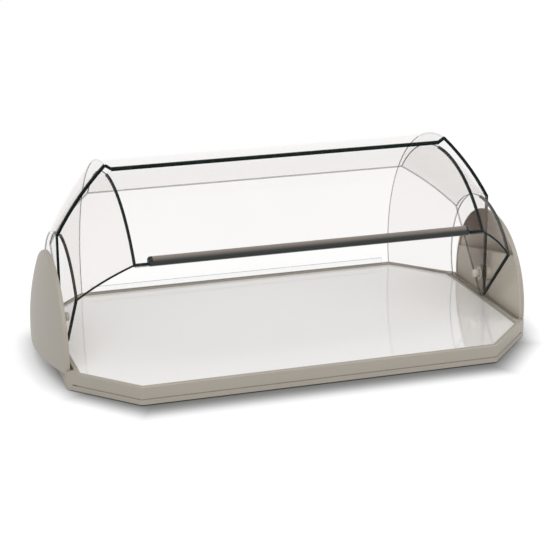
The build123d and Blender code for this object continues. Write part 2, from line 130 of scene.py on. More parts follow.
def reach(node):
    """Farthest distance of a node from the hinge line."""
    points = (v.co - HINGE for v in frame["nodes"][node].data.vertices)
    return max(hypot(p.y, p.z) for p in points)


class LidPlaces:
    """Creases and edges of one lid, drawn closed, and where they stand in the scene."""

    def __init__(self, side, radius, end_radius, rise, tilt):
        self.radius = radius
        self.end_radius = end_radius
        self.rise = rise
        self.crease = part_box(side + "_main_panel")[1].x
        self.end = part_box(side + "_end_right")[1].x
        self.turn = Matrix.Rotation(-tilt, 3, "X")
        run, fall = self.end - self.crease, radius - end_radius
        chord = hypot(run, fall)
        self.bow = (chord ** 2 / 4 + BEVEL_SWELL ** 2) / (2 * BEVEL_SWELL)
        depth = self.bow - BEVEL_SWELL
        self.middle_x = (self.crease + self.end) / 2 - depth * fall / chord
        self.middle_r = (radius + end_radius) / 2 - depth * run / chord

    def at(self, x, y, z):
        """Scene place of a point given in the closed lid, measured from the hinge."""
        return HINGE + self.turn @ Vector((x, y, z))

    def on(self, x, radius, turn):
        """Scene place on the lid's curve: turn 0 is level at the front, pi/2 the top."""
        return self.at(x, -radius * cos(turn), self.rise + radius * sin(turn))

    def creases(self):
        """(x, radius) of the joints along the creases of the right-hand side."""
        return ((self.crease - CREASE_INSET, self.radius - SHEET / 2),
                (self.end - SHEET / 2, self.end_radius - SHEET / 2))

    def bevel_point(self, share, inset):
        """(x, radius) of a point inside a bevel's bow: share 0 at its crease, 1 at its end."""
        top = atan2(self.radius - self.middle_r, self.crease - self.middle_x)
        low = atan2(self.end_radius - self.middle_r, self.end - self.middle_x)
        lean, arm = top + share * (low - top), self.bow - inset
        return self.middle_x + arm * cos(lean), self.middle_r + arm * sin(lean)

    def way(self, x, y, z):
        """Scene direction of a direction given in the closed lid."""
        return (self.turn @ Vector((x, y, z))).normalized()


REAR_DROP = HINGE.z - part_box("rear_bevel_right")[0].z
REAR_TOP = REAR_HIGH.z - HINGE.z
REAR_RISE = REAR_TOP - REAR_HIGH.y
FRONT = LidPlaces("front", reach("front_main_panel"), reach("front_end_right"), 0.0, FRONT_OPEN)
REAR = LidPlaces("rear", REAR_HIGH.y,
                 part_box("rear_end_right")[1].z - HINGE.z - REAR_RISE, REAR_RISE, 0.0)
REAR_EDGE = REAR_LOW.y
LIP_LOW = min(v.co.z for v in frame["nodes"]["rear_main_panel"].data.vertices
              if abs(v.co.y - REAR_EDGE) < SAME_FACE
              and v.co.z > HINGE.z + REAR_DROP) - HINGE.z
FRONT_DROP = HINGE.z - TRAY_TOP - TRAY_GAP
NEST_TURN = pi / 2 - FRONT_OPEN


def clear_selection():
    """Leave object mode with nothing selected."""
    if bpy.context.object and bpy.context.object.mode != "OBJECT":
        bpy.ops.object.mode_set(mode="OBJECT")
    bpy.ops.object.select_all(action="DESELECT")


def node_names(*stems):
    """CAD nodes whose name starts with one of these stems."""
    return [n for n in frame["nodes"] if n.startswith(stems)]


def lay(tree, kind, x, y, **values):
    """Add a shader node at a grid place and set its choices and its inputs by name."""
    node = tree.nodes.new(kind)
    node.location = (x * GRID_X, y * GRID_Y)
    for key, value in values.items():
        if key in ("operation", "blend_type", "data_type", "interpolation_type"):
            setattr(node, key, value)
        else:
            node.inputs[key.replace("_", " ")].default_value = value
    return node


def maths(tree, operation, x, y, first, second=None, third=None, clamp=False):
    """A Math node fed by sockets or plain numbers."""
    node = tree.nodes.new("ShaderNodeMath")
    node.operation = operation
    node.use_clamp = clamp
    node.location = (x * GRID_X, y * GRID_Y)
    for slot, value in zip(node.inputs, (first, second, third)):
        if value is None:
            continue
        if isinstance(value, (int, float)):
            slot.default_value = value
        else:
            tree.links.new(value, slot)
    return node.outputs[0]


def blend_by(tree, mask, x, y, first, second, colour=False):
    """A Mix node that goes from the first value to the second by a mask."""
    kind, slots = ("RGBA", (6, 7)) if colour else ("FLOAT", (2, 3))
    node = lay(tree, "ShaderNodeMix", x, y, data_type=kind)
    tree.links.new(mask, node.inputs["Factor"])
    for slot, value in zip(slots, (first, second)):
        if isinstance(value, bpy.types.NodeSocket):
            tree.links.new(value, node.inputs[slot])
        else:
            node.inputs[slot].default_value = value
    return node.outputs[slots[0] // 3]


def new_group(name, takes, gives):
    """A node group with named inputs (name, type, default) and outputs (name, type)."""
    group = bpy.data.node_groups.new(name, "ShaderNodeTree")
    for title, kind, default in takes:
        socket = group.interface.new_socket(name=title, in_out="INPUT", socket_type=kind)
        if default is not None:
            socket.default_value = default
    for title, kind in gives:
        group.interface.new_socket(name=title, in_out="OUTPUT", socket_type=kind)
    source = group.nodes.new("NodeGroupInput")
    source.location = (-900, 0)
    sink = group.nodes.new("NodeGroupOutput")
    sink.location = (1300, 0)
    return group, source, sink


def moulded_grain_group():
    """Colour drift, roughness drift and fine grain of an injection moulding."""
    group, take, give = new_group(
        "Moulded Grain",
        [("Colour", "NodeSocketColor", (0.4, 0.36, 0.3, 1)),
         ("Roughness", "NodeSocketFloat", 0.4), ("Grain", "NodeSocketFloat", 900.0),
         ("Depth", "NodeSocketFloat", 0.04), ("Drift", "NodeSocketFloat", 0.06)],
        [("Colour", "NodeSocketColor"), ("Roughness", "NodeSocketFloat"),
         ("Normal", "NodeSocketVector")])
    place = lay(group, "ShaderNodeTexCoord", -4, -1)
    broad = lay(group, "ShaderNodeTexNoise", -2, 1, Scale=9.0, Detail=3.0, Roughness=0.55)
    fine = lay(group, "ShaderNodeTexNoise", -2, -2, Detail=4.0, Roughness=0.6)
    group.links.new(place.outputs["Object"], broad.inputs["Vector"])
    group.links.new(place.outputs["Object"], fine.inputs["Vector"])
    group.links.new(take.outputs["Grain"], fine.inputs["Scale"])
    swing = maths(group, "SUBTRACT", -1, 1, broad.outputs[0], 0.5)
    shade = maths(group, "MULTIPLY_ADD", 0, 1, swing, take.outputs["Drift"], 1.0)
    tint = lay(group, "ShaderNodeMix", 1, 1, data_type="RGBA", blend_type="MULTIPLY")
    tint.inputs["Factor"].default_value = 1.0
    group.links.new(take.outputs["Colour"], tint.inputs[6])
    group.links.new(shade, tint.inputs[7])
    rough = maths(group, "MULTIPLY_ADD", 1, 0, swing, 0.12, take.outputs["Roughness"], True)
    bump = lay(group, "ShaderNodeBump", 1, -2, Distance=0.0004)
    group.links.new(take.outputs["Depth"], bump.inputs["Strength"])
    group.links.new(fine.outputs[0], bump.inputs["Height"])
    group.links.new(tint.outputs[2], give.inputs["Colour"])
    group.links.new(rough, give.inputs["Roughness"])
    group.links.new(bump.outputs[0], give.inputs["Normal"])
    return group


def sheet_faces_group():
    """Masks for the sawn edges and the mitres of a lid panel.

    Low and High bound the sideways share of its face normals. Curved is 1 for the
    panel that is rolled round the hinge, whose faces point away from it. Fold is the
    height above the hinge over which the turned-down lip stays clear.
    """
    group, take, give = new_group(
        "Sheet Faces",
        [("Low", "NodeSocketFloat", -1.0), ("High", "NodeSocketFloat", 0.2),
         ("Curved", "NodeSocketFloat", 0.0), ("Fold", "NodeSocketFloat", 1.0)],
        [("Sawn", "NodeSocketFloat"), ("Mitre", "NodeSocketFloat")])
    place = lay(group, "ShaderNodeTexCoord", -6, 0)
    shift = lay(group, "ShaderNodeVectorMath", -5, 0, operation="SUBTRACT")
    shift.inputs[1].default_value = HINGE
    group.links.new(place.outputs["Object"], shift.inputs[0])
    flat = lay(group, "ShaderNodeVectorMath", -4, 0, operation="MULTIPLY")
    flat.inputs[1].default_value = (0, 1, 1)
    group.links.new(shift.outputs[0], flat.inputs[0])
    away = lay(group, "ShaderNodeVectorMath", -3, 0, operation="NORMALIZE")
    group.links.new(flat.outputs[0], away.inputs[0])
    along = lay(group, "ShaderNodeVectorMath", -2, 0, operation="DOT_PRODUCT")
    group.links.new(away.outputs[0], along.inputs[0])
    group.links.new(place.outputs["Normal"], along.inputs[1])
    facing = maths(group, "ABSOLUTE", -1, 0, along.outputs["Value"])
    outer = maths(group, "GREATER_THAN", 0, 0, facing, ROLLED)
    rolled = maths(group, "MULTIPLY", 1, 0, outer, take.outputs["Curved"])
    parts = lay(group, "ShaderNodeSeparateXYZ", -4, 2)
    group.links.new(place.outputs["Normal"], parts.inputs[0])
    sideways = maths(group, "ABSOLUTE", -3, 2, parts.outputs[0])
    thin = maths(group, "LESS_THAN", -2, 2, sideways, SAWN)
    forward = maths(group, "ABSOLUTE", -3, 4, parts.outputs[1])
    front = maths(group, "GREATER_THAN", -2, 4, forward, UPRIGHT)
    height = lay(group, "ShaderNodeSeparateXYZ", -4, 5)
    group.links.new(shift.outputs[0], height.inputs[0])
    high = maths(group, "GREATER_THAN", -2, 5, height.outputs[2], take.outputs["Fold"])
    fold = maths(group, "MULTIPLY", -1, 4, front, high)
    smooth = maths(group, "MAXIMUM", 2, 1, rolled, fold)
    open_edge = maths(group, "SUBTRACT", 3, 1, 1.0, smooth, clamp=True)
    sawn = maths(group, "MULTIPLY", 4, 1, thin, open_edge)
    above = maths(group, "GREATER_THAN", -1, 2, sideways, take.outputs["Low"])
    below = maths(group, "LESS_THAN", -1, 3, sideways, take.outputs["High"])
    face = maths(group, "MULTIPLY", 0, 2, above, below)
    off_face = maths(group, "SUBTRACT", 1, 2, 1.0, face)
    off_thin = maths(group, "SUBTRACT", 0, 3, 1.0, thin)
    mitre = maths(group, "MULTIPLY", 2, 2, off_face, off_thin)
    group.links.new(sawn, give.inputs["Sawn"])
    group.links.new(mitre, give.inputs["Mitre"])
    return group


def fresh_material(name, view=(0.6, 0.6, 0.6)):
    """An empty material with its output and one Principled shader."""
    mat = bpy.data.materials.new(name)
    mat.use_nodes = True
    tree = mat.node_tree
    tree.nodes.clear()
    sink = tree.nodes.new("ShaderNodeOutputMaterial")
    sink.location = (900, 0)
    shader = tree.nodes.new("ShaderNodeBsdfPrincipled")
    shader.location = (560, 0)
    tree.links.new(shader.outputs[0], sink.inputs[0])
    mat.diffuse_color = (*view, 1)
    return mat, tree, shader


def moulded(name, colour, roughness, grain=900.0, depth=0.05, drift=0.06, coat=0.0):
    """A moulded plastic or rubber finish."""
    mat, tree, shader = fresh_material(name, colour[:3])
    node = tree.nodes.new("ShaderNodeGroup")
    node.node_tree = bpy.data.node_groups["Moulded Grain"]
    node.location = (200, 0)
    for title, value in (("Colour", (*colour, 1)), ("Roughness", roughness),
                         ("Grain", grain), ("Depth", depth), ("Drift", drift)):
        node.inputs[title].default_value = value
    tree.links.new(node.outputs["Colour"], shader.inputs["Base Color"])
    tree.links.new(node.outputs["Roughness"], shader.inputs["Roughness"])
    tree.links.new(node.outputs["Normal"], shader.inputs["Normal"])
    if coat:
        shader.inputs["Coat Weight"].default_value = coat
        shader.inputs["Coat Roughness"].default_value = 0.04
    return mat, tree, shader, node


def grip_bar(colours):
    """Bar that goes from a near-black underside to a warm grey crown, a painted highlight of
    light from above on its upper half.
    """
    mat, tree, shader, node = moulded("Grip Bar", (0.27, 0.225, 0.20), 0.2, 700.0, 0.02, 0.3)
    low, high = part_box("front_handle")
    place = lay(tree, "ShaderNodeTexCoord", -6, 1)
    parts = lay(tree, "ShaderNodeSeparateXYZ", -5, 1)
    tree.links.new(place.outputs["Object"], parts.inputs[0])
    tall = high.z - low.z
    # Painted highlight: the colour lightens with height over the upper half of the bar, as if
    # lit from above
    painted_crown_light = maths(tree, "SUBTRACT", -4, 1, parts.outputs[2], low.z + 0.5 * tall)
    painted_crown_light = maths(tree, "MULTIPLY", -3, 1, painted_crown_light, 1.9 / tall, clamp=True)
    painted_crown_light = maths(tree, "POWER", -2, 1, painted_crown_light, 1.35)
    hue = blend_by(tree, painted_crown_light, 2, 1, (*colours.joint, 1), node.outputs["Colour"], colour=True)
    tree.links.new(hue, shader.inputs["Base Color"])
    return mat


def cheek_finish(colours):
    """Moulding with painted light: paler inside the hollow, where faces point to the case's
    middle, to lift the shade in there.
    """
    mat, tree, shader, node = moulded("Cheek Moulding", tuple(colours.base), 0.42)
    place = lay(tree, "ShaderNodeTexCoord", -6, 1)
    spot = lay(tree, "ShaderNodeSeparateXYZ", -5, 1)
    tree.links.new(place.outputs["Object"], spot.inputs[0])
    face = lay(tree, "ShaderNodeSeparateXYZ", -5, 0)
    tree.links.new(place.outputs["Normal"], face.inputs[0])
    hollow_light_mask = maths(tree, "MULTIPLY", -4, 1, spot.outputs[0], face.outputs[0])
    hollow_light_mask = maths(tree, "LESS_THAN", -3, 1, hollow_light_mask, -0.01)
    # Painted light: the hollow's faces get the base grey lifted 1.75 times
    pale = (*(c * 1.75 for c in colours.base), 1)
    hue = blend_by(tree, hollow_light_mask, 2, 1, node.outputs["Colour"], pale, colour=True)
    tree.links.new(hue, shader.inputs["Base Color"])
    return mat


def joint_finish(name, colour, solidity):
    """Solvent-glued joint: nearly solid, uneven where the glue has run."""
    mat, tree, shader, _ = moulded(name, colour, 0.4, 260.0, 0.05, 0.5)
    place = lay(tree, "ShaderNodeTexCoord", -4, -3)
    runs = lay(tree, "ShaderNodeTexNoise", -3, -3, Scale=45.0, Detail=2.0, Roughness=0.5)
    tree.links.new(place.outputs["Object"], runs.inputs["Vector"])
    swing = maths(tree, "SUBTRACT", -2, -3, runs.outputs[0], 0.5)
    alpha = maths(tree, "MULTIPLY_ADD", -1, -3, swing, 0.2, solidity, True)
    tree.links.new(alpha, shader.inputs["Alpha"])
    shader.inputs["Specular IOR Level"].default_value = 0.15
    return mat


def clear_sheet(name, low, high, curved, fold, tint, veil, edge):
    """Clear sheet: a faint warm veil, dark sawn edges and pale mitres."""
    mat, tree, shader = fresh_material(name, (0.8, 0.85, 0.84))
    cut = tree.nodes.new("ShaderNodeGroup")
    cut.node_tree = bpy.data.node_groups["Sheet Faces"]
    cut.location = (-900, 300)
    for title, value in (("Low", low), ("High", high), ("Curved", curved), ("Fold", fold)):
        cut.inputs[title].default_value = value
    sawn, mitre = cut.outputs["Sawn"], cut.outputs["Mitre"]
    place = lay(tree, "ShaderNodeTexCoord", -7, -1)
    haze = lay(tree, "ShaderNodeTexNoise", -6, -1, Scale=7.0, Detail=3.0, Roughness=0.5)
    tree.links.new(place.outputs["Object"], haze.inputs["Vector"])
    drift = maths(tree, "MULTIPLY_ADD", -5, -1, haze.outputs[0], HAZE_SWING,
                  veil - HAZE_SWING / 2)
    facing = lay(tree, "ShaderNodeFresnel", -5, -2, IOR=1.25)
    glance = maths(tree, "MULTIPLY_ADD", -4, -2, facing.outputs[0], ANGLE_VEIL, drift)
    solid = blend_by(tree, mitre, -3, -1, glance, MITRE_VEIL)
    solid = blend_by(tree, sawn, -2, -1, solid, SAWN_VEIL)
    tree.links.new(solid, shader.inputs["Alpha"])
    hue = blend_by(tree, mitre, -3, 1, (*tint, 1), (0.30, 0.36, 0.35, 1), colour=True)
    hue = blend_by(tree, sawn, -2, 1, hue, (*edge, 1), colour=True)
    tree.links.new(hue, shader.inputs["Base Color"])
    gloss = maths(tree, "MULTIPLY_ADD", -1, 0, sawn, 0.2, 0.06)
    tree.links.new(gloss, shader.inputs["Roughness"])
    shader.inputs["IOR"].default_value = 1.49
    return mat


def dress(names, mat):
    """Give these CAD nodes one material."""
    for name in names:
        data = frame["nodes"][name].data
        data.materials.clear()
        data.materials.append(mat)


def section_at(point, along, across, wide, deep):
    """A bare four-sided outline, square to its run, ready to be drawn out."""
    clear_selection()
    turn = Matrix((across, along.cross(across), along)).transposed().to_euler()
    bpy.ops.mesh.primitive_plane_add(size=1, location=point, rotation=turn)
    bpy.context.object.scale = (wide, deep, 1)
    bpy.ops.object.transform_apply(location=True, rotation=True, scale=True)
    bpy.ops.object.mode_set(mode="EDIT")
    bpy.ops.mesh.select_all(action="SELECT")
    bpy.ops.mesh.delete(type="ONLY_FACE")
    bpy.ops.mesh.select_all(action="SELECT")


def close_run():
    """Cap the ends of a drawn-out outline and turn its faces outwards."""
    bpy.ops.mesh.select_all(action="SELECT")
    bpy.ops.mesh.fill_holes(sides=0)
    bpy.ops.mesh.select_all(action="SELECT")
    bpy.ops.mesh.normals_make_consistent(inside=False)
    bpy.ops.object.mode_set(mode="OBJECT")
    return bpy.context.object


def straight_run(start, finish, across, wide, deep):
    """A straight strip between two places."""
    section_at(start, (finish - start).normalized(), across, wide, deep)
    bpy.ops.mesh.extrude_region_move(TRANSFORM_OT_translate={"value": finish - start})
    return close_run()


def bowed_run(start, over, finish, wide, deep):
    """A strip bent along the arc through three places: wide across it, deep sideways."""
    first, second = over - start, finish - start
    normal = first.cross(second)
    lean = (first.length_squared * second - second.length_squared * first).cross(normal)
    centre = start + lean / (2 * normal.length_squared)
    axis = normal.normalized()
    away = start - centre
    angle = away.angle(over - centre) + (over - centre).angle(finish - centre)
    section_at(start, axis.cross(away).normalized(), away.normalized(), wide, deep)
    steps = max(6, round(degrees(angle) / 2.5))
    bpy.ops.mesh.spin(steps=steps, angle=-angle, center=centre, axis=axis)
    return close_run()


def joint_run(lid, x, radius, turns, size):
    """A joint along a lid's crease, through three turns of the lid's curve."""
    return bowed_run(*[lid.on(x, radius, turn) for turn in turns], size, size)


def finish_mesh(runs, name, mat, body, soften):
    """Join runs into one named piece with softened corners and hang it on a body."""
    clear_selection()
    for run in runs:
        run.select_set(True)
    piece = runs[0]
    bpy.context.view_layer.objects.active = piece
    bpy.ops.object.join()
    bpy.ops.object.transform_apply(location=True, rotation=True, scale=True)
    bevel = piece.modifiers.new("Softened Corners", "BEVEL")
    bevel.width = soften
    bevel.segments = 2
    bevel.limit_method = "ANGLE"
    bevel.angle_limit = radians(50)
    bpy.ops.object.modifier_apply(modifier=bevel.name)
    bpy.ops.object.shade_smooth_by_angle(angle=radians(35))
    piece.name = name
    piece.data.name = name
    piece.data.materials.clear()
    piece.data.materials.append(mat)
    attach(piece, body)
    return piece


class CaseSizes(bpy.types.PropertyGroup):
    """Sizes of the dark joints and edges, and of the view."""

    joint: bpy.props.FloatProperty(
        name="Glued Joint", description="Thickness of the front lid's glued joints",
        default=0.0038, unit="LENGTH")
    edge: bpy.props.FloatProperty(
        name="Edge Thickness", description="Thickness of the rear lid's front edge",
        default=0.0042, unit="LENGTH")
    edge_depth: bpy.props.FloatProperty(
        name="Edge Depth", description="How far the rear lid's edge reaches back",
        default=0.0058, unit="LENGTH")
    lip: bpy.props.FloatProperty(
        name="Lip Edge", description="Height of the dark edge under the rear lid's lip",
        default=0.0054, unit="LENGTH")
    hair: bpy.props.FloatProperty(
        name="Fine Joint", description="Thickness of the fine joints of both lids",
        default=0.0013, unit="LENGTH")
    foot: bpy.props.FloatProperty(
        name="Bevel Foot", description="Height of the dark edge under the front bevels",
        default=0.0020, unit="LENGTH")
    soften: bpy.props.FloatProperty(
        name="Softening", description="Rounding of the joints' corners",
        default=0.0006, unit="LENGTH")
    lens: bpy.props.FloatProperty(
        name="Lens", description="Focal length on a 36 mm sensor", default=109.3)
    distance: bpy.props.FloatProperty(
        name="Distance", description="Camera to the middle of the case",
        default=2.554, unit="LENGTH")


class CaseColours(bpy.types.PropertyGroup):
    """Colours of the finishes."""

    base: bpy.props.FloatVectorProperty(
        name="Base", description="Warm grey of the base and cheeks", subtype="COLOR",
        size=3, default=(0.395, 0.362, 0.307), min=0, max=1)
    tray: bpy.props.FloatVectorProperty(
        name="Tray", description="Near-white gloss of the tray", subtype="COLOR",
        size=3, default=(0.95, 0.935, 0.915), min=0, max=1)
    veil: bpy.props.FloatVectorProperty(
        name="Sheet", description="Faint tint of the clear sheet", subtype="COLOR",
        size=3, default=(0.50, 0.36, 0.29), min=0, max=1)
    sawn: bpy.props.FloatVectorProperty(
        name="Sawn Edge", description="Plain sawn edge of the clear sheet", subtype="COLOR",
        size=3, default=(0.10, 0.13, 0.125), min=0, max=1)
    joint: bpy.props.FloatVectorProperty(
        name="Joint", description="Glued joints and dark edges", subtype="COLOR",
        size=3, default=(0.0015, 0.008, 0.0065), min=0, max=1)
    fine: bpy.props.FloatVectorProperty(
        name="Fine Joint", description="Fine joints of both lids", subtype="COLOR",
        size=3, default=(0.16, 0.20, 0.20), min=0, max=1)


class CASE_OT_finishes(bpy.types.Operator):
    """Give every CAD piece its finish"""

    bl_idname = "case.finishes"
    bl_label = "Finishes"

    def execute(self, context):
        colours = context.scene.case_colours
        moulded_grain_group()
        sheet_faces_group()
        grey = moulded("Warm Grey Moulding", tuple(colours.base), 0.42)[0]
        # Painted light: the liner is the base grey lifted 1.45 times to offset the shade inside
        # the cheek
        inner = tuple(c * 1.45 for c in colours.base)
        liner = moulded("Liner Moulding", inner, 0.4)[0]
        tray = moulded("Gloss Tray", tuple(colours.tray), 0.07, 300.0, 0.01, 0.02, 1.0)[0]
        steel, _, steel_shader, _ = moulded("Turned Steel", (0.62, 0.62, 0.61), 0.25, 2500.0)
        steel_shader.inputs["Metallic"].default_value = 1.0
        cap = moulded("Cap Plastic", (0.62, 0.58, 0.51), 0.25)[0]
        rubber = moulded("Foot Rubber", (0.03, 0.03, 0.03), 0.7, 1500.0, 0.15, 0.2)[0]
        nylon = moulded("Bush Nylon", (0.62, 0.58, 0.51), 0.35)[0]
        dress(("base_shell",), grey)
        dress(("cheek_right", "cheek_left"), cheek_finish(colours))
        dress(("liner_right", "liner_left"), liner)
        dress(("tray_floor",), tray)
        dress(node_names("pivot_pin", "wave_washers", "cheek_screws"), steel)
        dress(node_names("pivot_cap"), cap)
        dress(("feet",), rubber)
        dress(node_names("front_bushes", "rear_bushes"), nylon)
        dress(("front_handle",), grip_bar(colours))
        grip_cap = moulded("Grip Cap", tuple(colours.joint), 0.25, 700.0, 0.03, 0.3)[0]
        dress(("front_handle_caps",), grip_cap)
        joint_finish("Glued Joint", tuple(colours.joint), 0.96)
        joint_finish("Fine Joint", tuple(colours.fine), 0.42)
        tint, sawn = tuple(colours.veil), tuple(colours.sawn)
        fold = LIP_LOW - FOLD_MARGIN
        for lid in ("front", "rear"):
            for stem, low, high, curved in SHEET_FACES:
                over = fold if lid + stem == "rear_main_panel" else 1.0
                title = (lid + stem).replace("_", " ").title() + " Sheet"
                veil = VEILS[lid + stem]
                mat = clear_sheet(title, low, high, curved, over, tint, veil, sawn)
                dress(node_names(lid + stem), mat)
        low, high, curved = SHEET_FACES[0][1:]
        strip = clear_sheet("Rear Strip Sheet", low, high, curved, 1.0, tint, STRIP_VEIL, sawn)
        dress(("rear_edge_strip",), strip)
        return {"FINISHED"}


class CASE_OT_front_joints(bpy.types.Operator):
    """Lay the front lid's dark joints and lower edges, and its fine joints at the top"""

    bl_idname = "case.front_joints"
    bl_label = "Front Joints"

    def execute(self, context):
        sizes = context.scene.case_sizes
        runs = []
        for side in (-1, 1):
            for (x, radius), drop in zip(FRONT.creases(), (FRONT_DROP, REAR_DROP)):
                turns = (-asin(drop / radius), JOINT_OVER, NEST_TURN)
                runs.append(joint_run(FRONT, side * x, radius, turns, sizes.joint))
            runs += [self.end_foot(side, sizes.joint), self.main_foot(side, sizes.joint)]
            runs += [self.bevel_foot(side, sizes.foot)]
        mat = bpy.data.materials["Glued Joint"]
        finish_mesh(runs, "front_lid_joints", mat, "front_lid", sizes.soften)
        runs = []
        turns = (NEST_TURN, (NEST_TURN + pi / 2) / 2, pi / 2)
        for side in (-1, 1):
            for x, radius in FRONT.creases():
                runs.append(joint_run(FRONT, side * x, radius, turns, sizes.hair))
        mat = bpy.data.materials["Fine Joint"]
        finish_mesh(runs, "front_nested_joints", mat, "front_lid",
                    sizes.soften / 3)
        return {"FINISHED"}

    def end_foot(self, side, size):
        """Lower edge of an end panel, as far as its rounded tail."""
        x, z = side * (FRONT.end - SHEET / 2), 0.45 * size - REAR_DROP
        start = FRONT.at(x, -sqrt(FRONT.end_radius ** 2 - z ** 2) + SHEET / 2, z)
        return straight_run(start, FRONT.at(x, TAIL_START, z), FRONT.way(1, 0, 0), size, size)

    def main_foot(self, side, size):
        """Lower edge of the curved panel between its crease and the handle."""
        z = 0.5 * size - FRONT_DROP
        y = -sqrt((FRONT.radius - SHEET / 2) ** 2 - z ** 2)
        start = FRONT.at(side * FRONT.crease, y, z)
        finish = FRONT.at(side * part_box("front_handle_caps")[1].x, y, z)
        return straight_run(start, finish, FRONT.way(0, y, z), size, size)

    def bevel_foot(self, side, size):
        """Lower edge of a bevel, bowed like the panel."""
        places = []
        for share in (0.0, 0.5, 1.0):
            x, radius = FRONT.bevel_point(share, SHEET / 2)
            places.append(FRONT.at(side * x, -sqrt(radius ** 2 - REAR_DROP ** 2), -REAR_DROP))
        return bowed_run(*places, SHEET, size)


class CASE_OT_rear_edges(bpy.types.Operator):
    """Lay the rear lid's dark front edges and the fine joints along its creases"""

    bl_idname = "case.rear_edges"
    bl_label = "Rear Edges"

    def execute(self, context):
        sizes = context.scene.case_sizes
        runs = [self.lip(sizes)]
        for side in (-1, 1):
            runs += [self.lip_end(side, sizes), self.bevel_edge(side, sizes)]
            runs += [self.end_edge(side, sizes)]
        mat = bpy.data.materials["Glued Joint"]
        finish_mesh(runs, "rear_lid_edges", mat, "rear_lid", sizes.soften)
        runs = []
        for side in (-1, 1):
            for x, radius in REAR.creases():
                foot = pi + asin((REAR_DROP + REAR.rise) / radius)
                turns = (FINE_START, FINE_OVER, foot)
                runs.append(joint_run(REAR, side * x, radius, turns, sizes.hair))
        mat = bpy.data.materials["Fine Joint"]
        finish_mesh(runs, "rear_lid_joints", mat, "rear_lid", sizes.soften / 3)
        return {"FINISHED"}

    def lip(self, sizes):
        """Lower edge of the turned-down lip."""
        y, z = REAR_EDGE + SHEET / 2, LIP_LOW + sizes.lip / 2 - LIP_LAP
        half = REAR.crease - LIP_MITRE
        start, finish = REAR.at(-half, y, z), REAR.at(half, y, z)
        wide = sizes.edge + 2 * EDGE_LAP
        return straight_run(start, finish, Vector((0, 1, 0)), wide, sizes.lip)

    def lip_end(self, side, sizes):
        """Slanted end of the lip, up to the crease."""
        y = REAR_EDGE + SHEET / 2
        inner, crest = REAR.crease - LIP_MITRE - SHEET / 2, REAR.rise + REAR.radius
        start = REAR.at(side * inner, y, LIP_LOW + SHEET / 2)
        finish = REAR.at(side * (REAR.crease - CREST_IN), y, crest - CREST_DOWN)
        wide = sizes.edge + 2 * EDGE_LAP
        return straight_run(start, finish, Vector((0, 1, 0)), wide, sizes.edge)

    def bevel_edge(self, side, sizes):
        """Bowed front edge of a bevel panel, from crease to end panel."""
        y = REAR_EDGE - EDGE_LAP + sizes.edge_depth / 2
        places = []
        for share in (0.0, 0.5, 1.0):
            x, radius = REAR.bevel_point(share, SHEET / 2)
            places.append(REAR.at(side * x, y, REAR.rise + sqrt(radius ** 2 - y ** 2)))
        return bowed_run(*places, sizes.edge, sizes.edge_depth)

    def end_edge(self, side, sizes):
        """Upright front edge of an end panel, down to its rounded foot."""
        x, y = side * (REAR.end - SHEET / 2), REAR_EDGE - EDGE_LAP + sizes.edge_depth / 2
        start = REAR.at(x, y, REAR.rise + REAR.end_radius - CREST_IN)
        finish = REAR.at(x, y, TAIL_RADIUS - REAR_DROP)
        return straight_run(start, finish, Vector((1, 0, 0)), SHEET + EDGE_LAP, sizes.edge_depth)


